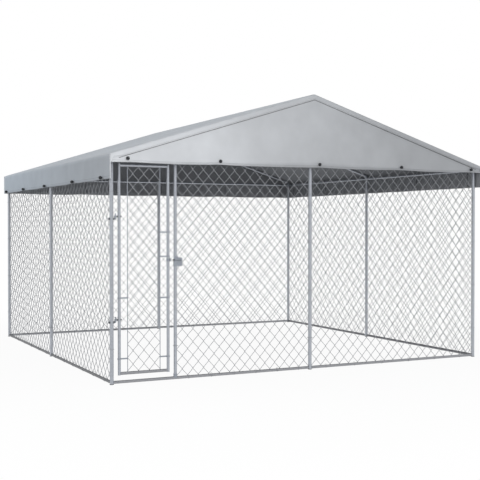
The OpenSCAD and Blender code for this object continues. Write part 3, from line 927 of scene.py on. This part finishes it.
def turned(profile, steps):
    """Spins a profile of (radius, height) points about Z into a closed round shape."""
    bm = bmesh.new()
    points = [bm.verts.new((radius, 0.0, height)) for radius, height in profile]
    edges = [bm.edges.new(pair) for pair in pairwise(points)]
    bmesh.ops.spin(
        bm, geom=points + edges, cent=(0.0, 0.0, 0.0), axis=(0.0, 0.0, 1.0),
        angle=2 * math.pi, steps=steps, use_merge=True,
    )
    bmesh.ops.remove_doubles(bm, verts=bm.verts, dist=WELD)
    return bm


def facing(direction):
    """A turn that takes +Z to a direction."""
    return Vector((0.0, 0.0, 1.0)).rotation_difference(Vector(direction)).to_matrix().to_4x4()


def arc(centre, radius, start, end, steps, flat=1.0):
    """Points (x, z) of an arc, with its angles in degrees, and its height made less by flat."""
    points = []
    for step in range(steps + 1):
        angle = math.radians(start + (end - start) * step / steps)
        across = radius * math.cos(angle)
        points.append((centre[0] + across, centre[1] + radius * flat * math.sin(angle)))
    return points


def cord_tube(route, radius, sides):
    """A round cord along points (x, z), with each point's turn and its length along the cord."""
    bm = bmesh.new()
    layer = bm.verts.layers.float_vector.new("turn")
    ring = bmesh.ops.create_circle(bm, cap_ends=False, segments=sides, radius=radius)["verts"]
    edges = list(bm.edges)
    circle = [vert.co.copy() for vert in ring]
    side = Vector((0.0, 1.0, 0.0))
    length = 0.0
    for index, point in enumerate(route):
        if index > 0:
            length += math.dist(point, route[index - 1])
            fresh, edges = grow(bm, edges)
            turns = [vert[layer].xy for vert in ring]
            ring = []
            for turn in turns:
                ring.append(min(fresh, key=lambda vert: (vert[layer].xy - turn).length))
        before = route[max(index - 1, 0)]
        after = route[min(index + 1, len(route) - 1)]
        ahead = Vector((after[0] - before[0], 0.0, after[1] - before[1])).normalized()
        across = side.cross(ahead)
        for vert, spot in zip(ring, circle):
            vert.co = Vector((point[0], 0.0, point[1])) + across * spot.x + side * spot.y
            vert[layer] = (spot.x / radius, spot.y / radius, length)
    close_ends(bm)
    return bm


def tie_route(reach, drop, hook):
    """The way of a tie from behind the rail over it to its ball, with the rail's axis at 0, 0."""
    if drop < LEVEL_DROP:
        dip = math.radians(CORD_DIP)
        bend = hook * math.cos(dip) / (1 - math.cos(dip))
        turn_x = (hook + bend) * math.sin(dip)
        over = arc((0.0, 0.0), hook, start=210, end=90 - CORD_DIP, steps=14)
        out = arc((turn_x, bend), bend, start=270 - CORD_DIP, end=270, steps=6)
        return over + out[1:] + [(reach, 0.0)]
    over = arc((0.0, 0.0), hook, start=180, end=0, steps=14)
    down = [(hook, -(drop - CORD_BEND) * quarter / 4) for quarter in (1, 2, 3)]
    centre = (hook + CORD_BEND, CORD_BEND - drop)
    out = arc(centre, CORD_BEND, start=180, end=270, steps=6)
    return over + down + out + [(reach, -drop)]


def outward(place):
    """The wall's outward direction at a tie."""
    if abs(place.x) > cover_shape().half_width:
        return Vector((math.copysign(1.0, place.x), 0.0, 0.0))
    return Vector((0.0, math.copysign(1.0, place.y), 0.0))


class KENNEL_OT_cover_ties(bpy.types.Operator):
    """Makes the black balls, rolled eyelets and elastic cords that hold the cover"""

    bl_idname = "kennel.cover_ties"
    bl_label = "Cover Ties"

    def execute(self, context):
        ball = loose_pieces("tie_balls")[0][1].z / 2
        shape = turned(self.ball_profile(ball), steps=20)
        self.repeat("tie_ball_set", "tie_balls", shape, black_plastic(), "black_plastic")
        flat = EYELET_RISE / EYELET_ROLL
        roll = arc((EYELET_RADIUS, EYELET_LIFT), EYELET_ROLL, start=0, end=360, steps=12, flat=flat)
        shape = turned(roll, steps=24)
        self.repeat("cover_eyelet_set", "cover_eyelets", shape, zinc_finish(), "zinc_fittings")
        self.cords(context.scene.kennel_cover.cord / 2, ball)
        return {"FINISHED"}

    def ball_profile(self, ball):
        """Half section of a ball with a flat crown, a mould seam and a bore for the cord."""
        profile = [(0.0, ball), (0.18 * ball, 0.97 * ball)]
        profile += arc((0.0, 0.0), ball, start=66, end=6, steps=5)
        profile += [
            (ball + 0.0001, MOULD_SEAM), (ball + MOULD_SEAM_RISE, 0.0), (ball + 0.0001, -MOULD_SEAM),
        ]
        profile += arc((0.0, 0.0), ball, start=-12, end=-60, steps=4)
        return profile + [
            (0.4 * ball, -0.93 * ball), (BALL_BORE, -0.93 * ball),
            (BALL_BORE - 0.0001, -0.5 * ball), (0.0, -0.5 * ball),
        ]

    def cords(self, radius, ball):
        """The elastic cords, from their balls through the eyelets and over the top rails."""
        rail_low, rail_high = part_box("front_top_rails")
        side_low, side_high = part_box("right_top_rails")
        height = (rail_low.z + rail_high.z) / 2
        wall_x = (side_low.x + side_high.x) / 2
        wall_y = -(rail_low.y + rail_high.y) / 2
        groups = {}
        for middle in middles("tie_balls"):
            out = outward(middle)
            reach = middle.dot(out) - (wall_x if abs(out.x) > 0.5 else wall_y)
            place = Vector((middle.x, middle.y, height)) - out * reach
            turn = Matrix.Rotation(math.atan2(out.y, out.x), 4, "Z")
            kind = (round(reach - CORD_IN_BALL * ball, 4), round(height - middle.z, 4))
            groups.setdefault(kind, []).append(Matrix.Translation(place) @ turn)
        hook = half_size("front_top_rails", Z) + radius + CORD_GAP
        bm = None
        for (reach, drop), places in groups.items():
            bm = scatter(cord_tube(tie_route(reach, drop, hook), radius, CORD_SIDES), places, bm)
        sleeve = make_material("braided_cord", braided, bpy.context.scene.kennel_metal.black)
        piece = new_piece("tie_cord_set", bm, (sleeve,), "frame", sharp=60)
        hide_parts("tie_cords")

    def repeat(self, name, node, shape, material, slot):
        """A shape set at each of a node's pieces, facing outwards."""
        places = []
        for middle in middles(node):
            places.append(Matrix.Translation(middle) @ facing(outward(middle)))
        piece = new_piece(name, scatter(shape, places), (material,), "frame", sharp=50)
        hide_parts(node)


class KENNEL_OT_mesh_ties(bpy.types.Operator):
    """Ties each mesh panel to its rails and posts with loops of wire"""

    bl_idname = "kennel.mesh_ties"
    bl_label = "Mesh Ties"

    def execute(self, context):
        rail = half_size("front_bottom_rails", Z)
        post = half_size("front_right_post", X)
        rail_places = []
        post_places = []
        for node in WALL_MESHES:
            low, high, axis = wall_box(node)
            turn = facing((1.0, 0.0, 0.0) if axis == X else (0.0, 1.0, 0.0))
            spot = (low + high) / 2
            for step in range(RAIL_TIES):
                spot[axis] = low[axis] + (high[axis] - low[axis]) * (step + 0.5) / RAIL_TIES
                for height in (low.z - rail + TIE_GRIP, high.z + rail - TIE_GRIP):
                    spot.z = height
                    rail_places.append(Matrix.Translation(spot) @ turn)
            for step in range(POST_TIES):
                spot.z = low.z + (high.z - low.z) * (step + 0.6) / (POST_TIES + 0.2)
                for place in (low[axis] - post + TIE_GRIP, high[axis] + post - TIE_GRIP):
                    spot[axis] = place
                    post_places.append(Matrix.Translation(spot))
        bm = None
        for tube, places in ((rail, rail_places), (post, post_places)):
            radius = tube + TIE_GRIP + 2 * TIE_WIRE_RADIUS
            section = arc((radius, 0.0), TIE_WIRE_RADIUS, start=0, end=360, steps=5)
            bm = scatter(turned(section, steps=14), places, bm)
        new_piece("mesh_tie_wires", bm, (wire_finish(),), "frame", sharp=60)
        return {"FINISHED"}


class KENNEL_OT_rail_screws(bpy.types.Operator):
    """Drives a round-headed screw into the end of every rail"""

    bl_idname = "kennel.rail_screws"
    bl_label = "Rail Screws"

    def execute(self, context):
        rails = TUBES + GROUND_RAILS + SIDE_GROUND_RAILS
        places = []
        for node in [name for name in rails if name.endswith("_rails")]:
            low, high, axis = wall_box(node)
            middle = (low + high) / 2
            out = Vector()
            out[Y - axis] = math.copysign(1.0, middle[Y - axis])
            end = half_size(node, axis) - SCREW_FROM_END
            for place in (-end, -SCREW_FROM_MIDDLE, SCREW_FROM_MIDDLE, end):
                spot = middle + out * (half_size(node, Z) - SCREW_SINK)
                spot[axis] += place
                places.append(Matrix.Translation(spot) @ facing(out))
        bm = scatter(turned(SCREW_HEAD, steps=12), places)
        new_piece("rail_screw_heads", bm, (zinc_finish(),), "frame", sharp=40)
        return {"FINISHED"}


class KENNEL_OT_latch(bpy.types.Operator):
    """Makes the pressed latch plate with its barrel, and the cap on the bolt"""

    bl_idname = "kennel.latch"
    bl_label = "Latch"

    def execute(self, context):
        self.pressing()
        self.cap()
        return {"FINISHED"}

    def pressing(self):
        """The latch plate with its edges rounded off."""
        bm = welded_copy("latch_plate")
        bmesh.ops.dissolve_limit(
            bm, angle_limit=math.radians(FLAT_ANGLE), verts=bm.verts, edges=bm.edges, delimit=set()
        )
        sharp = math.radians(SHARP_ANGLE)
        edges = [edge for edge in bm.edges if edge.calc_face_angle(0.0) > sharp]
        bmesh.ops.bevel(
            bm, geom=edges, offset=PRESSED_EDGE, segments=2, profile=0.5,
            affect="EDGES", material=-1, clamp_overlap=True,
        )
        piece = new_piece(
            "latch_plate_pressing", bm, (zinc_finish(),), "frame", sharp=35
        )
        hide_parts("latch_plate")

    def cap(self):
        """The black cap on the tip of the bolt."""
        low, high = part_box("latch_bolt")
        radius = half_size("latch_bolt", Z)
        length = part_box("latch_plate")[0].x - low.x - CAP_GAP
        outer = radius + CAP_WALL
        profile = [
            (0.0, CAP_DOME), (radius - 0.0022, CAP_DOME), (radius - 0.0006, 0.0008),
            (radius + 0.0006, -0.0006), (outer, -0.002), (outer, 0.002 - length),
            (radius + 0.0005, -length), (radius - 0.0003, -length), (0.0, -length),
        ]
        tip = Matrix.Translation((low.x, high.y - radius, (low.z + high.z) / 2))
        bm = scatter(turned(profile, steps=24), [tip @ facing((-1.0, 0.0, 0.0))])
        black = black_plastic()
        new_piece("latch_bolt_cap", bm, (black,), "latch_slide_bolt", sharp=40)


class KENNEL_OT_finishes(bpy.types.Operator):
    """Gives the tubes, fittings, hinges and plugs their finishes"""

    bl_idname = "kennel.finishes"
    bl_label = "Finishes"

    def execute(self, context):
        metal = context.scene.kennel_metal
        # Painted shade: the rails near the ground are darker than the other tubes, and the side rails
        # darker still.
        side_rail_shade = shade(metal.ground_rail, factor=0.57)
        dull = shade(metal.fitting, factor=0.22)
        dipped = {"spangle": 95.0, "metallic": 0.95}
        finishes = (
            (TUBES, make_material("spangled_tube", zinc, metal.tube, rough=0.45, **dipped)),
            (GROUND_RAILS, make_material("shaded_ground_tube", zinc, metal.ground_rail, rough=0.5, **dipped)),
            (SIDE_GROUND_RAILS, make_material("deeper_shaded_side_tube", zinc, side_rail_shade, rough=0.5, **dipped)),
            (FITTINGS, zinc_finish()),
            (HINGE_NUTS, make_material("dark_zinc", zinc, dull, spangle=150.0, metallic=0.5, rough=0.5)),
            (("post_plugs",), black_plastic()),
        )
        for names, material in finishes:
            for name in names:
                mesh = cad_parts[name].data
                mesh.materials.clear()
                mesh.materials.append(material)
        return {"FINISHED"}


class KENNEL_OT_stage(bpy.types.Operator):
    """Sets the pale floor, the soft light and the camera"""

    bl_idname = "kennel.stage"
    bl_label = "Stage"

    def execute(self, context):
        context.scene.view_settings.view_transform = "Standard"
        self.world(context.scene)
        self.floor()
        for lamp in LAMPS:
            self.lamp(*lamp)
        self.camera(context.scene)
        return {"FINISHED"}

    def end_tree(self, tree, output, light, eye, share=1.0):
        """Gives a tree one shader for the light, and a share of another one for the eye."""
        rays = add_node(tree, "ShaderNodeLightPath").outputs
        seen = joined(tree, "MAXIMUM", rays["Is Camera Ray"], rays["Is Glossy Ray"])
        seen = joined(tree, "MAXIMUM", seen, rays["Is Transmission Ray"])
        mix = add_node(tree, "ShaderNodeMixShader", {
            0: joined(tree, "MULTIPLY", seen, share), 1: light.outputs[0], 2: eye.outputs[0],
        })
        add_node(tree, output, {"Surface": mix.outputs["Shader"]})

    def world(self, scene):
        """A pale room for the light, and a white backdrop for the eye."""
        world = bpy.data.worlds.new("pale_room")
        scene.world = world
        world.use_nodes = True
        tree = world.node_tree
        tree.nodes.clear()
        room = add_node(tree, "ShaderNodeBackground", {"Color": ROOM_COLOUR, "Strength": ROOM_LIGHT})
        backdrop = add_node(tree, "ShaderNodeBackground", {"Color": WHITE, "Strength": 1.0})
        self.end_tree(tree, "ShaderNodeOutputWorld", room, backdrop)

    def floor(self):
        """A floor that glows white to the eye, with a soft shadow round the run."""
        bm = bmesh.new()
        bmesh.ops.create_grid(bm, x_segments=1, y_segments=1, size=FLOOR_HALF)
        mesh = to_mesh("floor", bm)
        material = bpy.data.materials.new("pale_floor")
        material.use_nodes = True
        mesh.materials.append(material)
        tree = material.node_tree
        tree.nodes.clear()
        place = add_node(tree, "ShaderNodeTexCoord").outputs["Object"]
        distance = add_node(tree, "ShaderNodeVectorMath", {0: place})
        distance.operation = "LENGTH"
        away = distance.outputs["Value"]
        fade = spread(tree, away, low=0.95, high=1.0, start=2.0, end=6.0, kind="SMOOTHSTEP")
        matt = add_node(tree, "ShaderNodeBsdfDiffuse", {"Color": FLOOR_COLOUR})
        glow = add_node(tree, "ShaderNodeEmission", {"Color": WHITE, "Strength": 1.0})
        self.end_tree(tree, "ShaderNodeOutputMaterial", matt, glow, fade)
        add_object("floor", mesh)

    def lamp(self, name, place, target, size, power, colour):
        """A soft round lamp, which itself isn't seen."""
        light = bpy.data.lights.new(name, "AREA")
        light.color = colour
        light.shape = "DISK"
        light.size = size
        light.energy = power
        lamp = add_object(name, light)
        lamp.visible_camera = False
        lamp.visible_glossy = False
        lamp.location = place
        aim = Vector(target) - Vector(place)
        lamp.rotation_euler = aim.to_track_quat("-Z", "Y").to_euler()

    def camera(self, scene):
        """The camera at its place, turned and tilted."""
        settings = scene.kennel_stage
        lens = bpy.data.cameras.new("camera")
        lens.lens = settings.camera_lens
        lens.clip_end = CAMERA_REACH
        camera = add_object("camera", lens)
        camera.location = settings.camera_place
        camera.rotation_euler = (math.pi / 2 + settings.camera_pitch, 0.0, -settings.camera_yaw)
        scene.camera = camera


OPERATORS = (
    KENNEL_OT_roof_cover, KENNEL_OT_gables, KENNEL_OT_wall_mesh, KENNEL_OT_door_mesh,
    KENNEL_OT_cover_ties, KENNEL_OT_mesh_ties, KENNEL_OT_rail_screws, KENNEL_OT_latch,
    KENNEL_OT_finishes, KENNEL_OT_stage,
)
SETTINGS = {
    "kennel_cover": KennelCoverSettings,
    "kennel_mesh": KennelMeshSettings,
    "kennel_metal": KennelMetalSettings,
    "kennel_stage": KennelStageSettings,
}


class KENNEL_PT_sidebar(bpy.types.Panel):
    """Lists the sizes, colours and pieces of the kennel run"""

    bl_idname = "KENNEL_PT_sidebar"
    bl_label = "Dog Kennel Run"
    bl_space_type = "VIEW_3D"
    bl_region_type = "UI"
    bl_category = "Kennel"

    def draw(self, context):
        layout = self.layout
        for settings in SETTINGS:
            box = layout.box()
            group = getattr(context.scene, settings)
            for name in group.__annotations__:
                box.prop(group, name)
        for operator in OPERATORS:
            layout.operator(operator.bl_idname)


def register():
    for name, group in SETTINGS.items():
        bpy.utils.register_class(group)
        setattr(bpy.types.Scene, name, PointerProperty(type=group))
    for operator in OPERATORS:
        bpy.utils.register_class(operator)
    bpy.utils.register_class(KENNEL_PT_sidebar)


def unregister():
    bpy.utils.unregister_class(KENNEL_PT_sidebar)
    for operator in reversed(OPERATORS):
        bpy.utils.unregister_class(operator)
    for name, group in SETTINGS.items():
        delattr(bpy.types.Scene, name)
        bpy.utils.unregister_class(group)


def main():
    register()
    bpy.ops.kennel.stage()
    bpy.ops.kennel.roof_cover()
    bpy.ops.kennel.gables()
    bpy.ops.kennel.wall_mesh()
    bpy.ops.kennel.door_mesh()
    bpy.ops.kennel.cover_ties()
    bpy.ops.kennel.mesh_ties()
    bpy.ops.kennel.rail_screws()
    bpy.ops.kennel.latch()
    bpy.ops.kennel.finishes()


if __name__ == "__main__":
    main()
